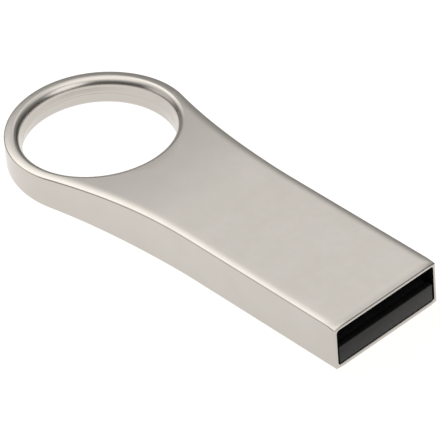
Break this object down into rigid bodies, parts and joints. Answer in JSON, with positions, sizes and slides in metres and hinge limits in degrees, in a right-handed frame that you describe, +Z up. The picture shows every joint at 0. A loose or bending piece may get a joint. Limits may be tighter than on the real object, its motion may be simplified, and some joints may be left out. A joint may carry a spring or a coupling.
{
  "type": "usb flash drive",
  "caption": "Capless USB flash drive: a flat die-cast metal body whose wide end is a key ring loop and whose other end is an open plug shell holding a memory module.",
  "frame": {"origin": "middle of the drive's box in X and Y, at the height of the flat face that it lies on", "axes": "+X out of the plug's open front, +Y across the plug, +Z up, out of the flat face beside the open half of the plug"},
  "size_m": [0.0444, 0.0168, 0.0046],
  "materials": {
    "satin_nickel": "satin nickel plate over die-cast zinc, warm light grey",
    "black_plastic": "matt moulded black",
    "epoxy": "matt black moulding compound",
    "board": "black solder mask over laminate",
    "gold": "gold flash over nickel and copper",
    "silicon": "bare dark grey die, mirror smooth",
    "crystal_can": "nickel-plated lid",
    "ferrite": "matt dark grey ceramic",
    "capacitor": "matt tan ceramic",
    "resistor": "matt black glaze on ceramic",
    "glue": "cured translucent adhesive film"
  },
  "bodies": {
    "root": {"metal_body": "satin_nickel", "carrier_tray": "black_plastic", "spacer_block": "black_plastic", "glue_pad": "glue", "module_board": "board", "mould_cap": "epoxy", "contact_power": "gold", "contact_data_minus": "gold", "contact_data_plus": "gold", "contact_ground": "gold", "flash_die_lower": "silicon", "flash_die_upper": "silicon", "controller_die": "silicon", "crystal": "crystal_can", "ferrite_bead": "ferrite", "capacitor_input": "capacitor", "capacitor_core": "capacitor", "capacitor_flash": "capacitor", "capacitor_load_1": "capacitor", "capacitor_load_2": "capacitor", "resistor_1": "resistor", "resistor_2": "resistor"}
  },
  "joints": []
}
